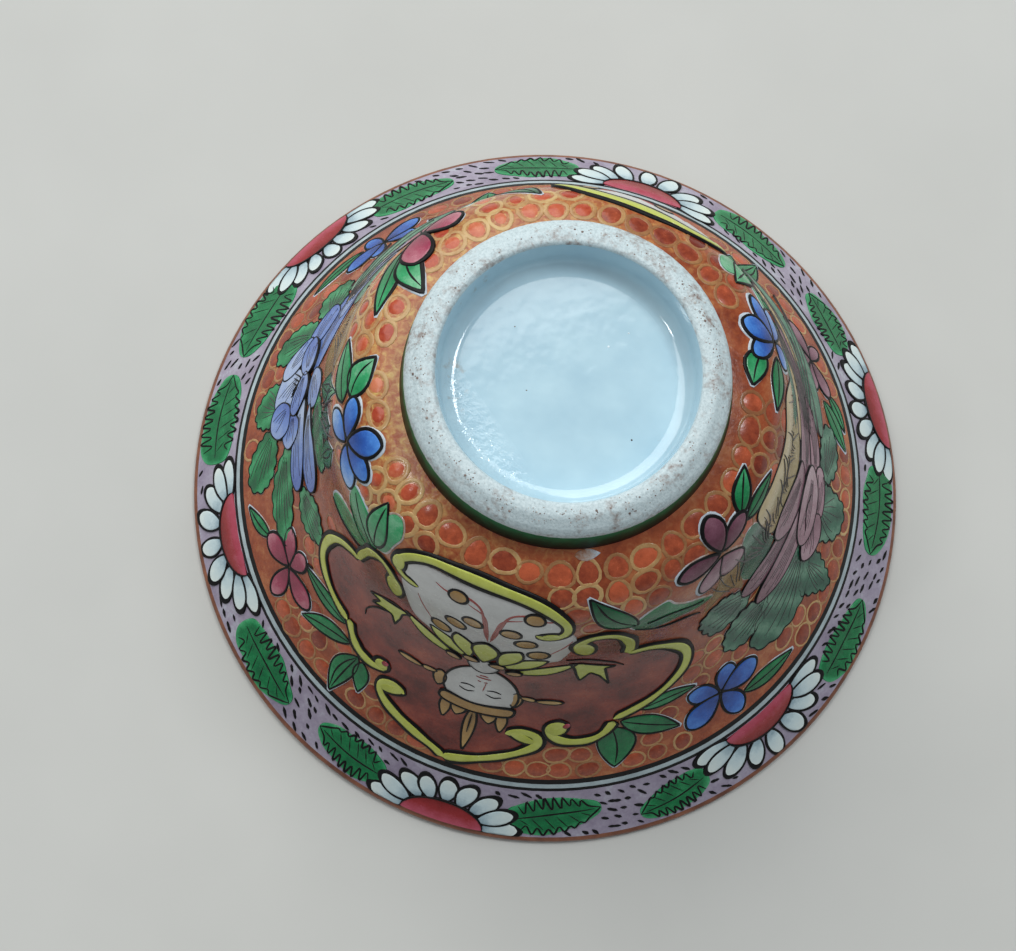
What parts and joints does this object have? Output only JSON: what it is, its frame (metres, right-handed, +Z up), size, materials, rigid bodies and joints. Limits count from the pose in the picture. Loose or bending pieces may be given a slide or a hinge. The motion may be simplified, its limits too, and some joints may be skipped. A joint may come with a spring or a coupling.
{
  "type": "gaiwan bowl",
  "caption": "Flared porcelain tea bowl on a foot ring, stored upturned on its rim, with painted enamel bands outside and clear glaze inside.",
  "frame": {"origin": "centre of the plane that the rim stands on, on the bowl's axis of revolution", "axes": "+Z up along the axis of revolution, from the rim to the foot ring; -Y towards the front painted medallion; +X to its right"},
  "size_m": [0.104, 0.104, 0.0604],
  "materials": {
    "porcelain": "unglazed, gritty",
    "clear_glaze": "glossy",
    "coral_enamel": "glossy enamel",
    "lavender_enamel": "glossy enamel",
    "black_enamel": "satin enamel",
    "white_enamel": "glossy enamel",
    "green_enamel": "glossy enamel",
    "yellow_enamel": "glossy enamel",
    "blue_enamel": "glossy enamel",
    "magenta_enamel": "glossy enamel",
    "brown_gilding": "satin"
  },
  "bodies": {
    "root": {"porcelain_body": "porcelain", "inside_glaze": "clear_glaze", "foot_recess_glaze": "clear_glaze", "wall_ground_enamel": "coral_enamel", "border_enamel": "lavender_enamel", "outer_line": "black_enamel", "white_line_band": "white_enamel", "inner_line": "black_enamel", "foot_line": "black_enamel", "foot_band_enamel": "green_enamel", "rim_gilding": "brown_gilding"}
  },
  "joints": []
}
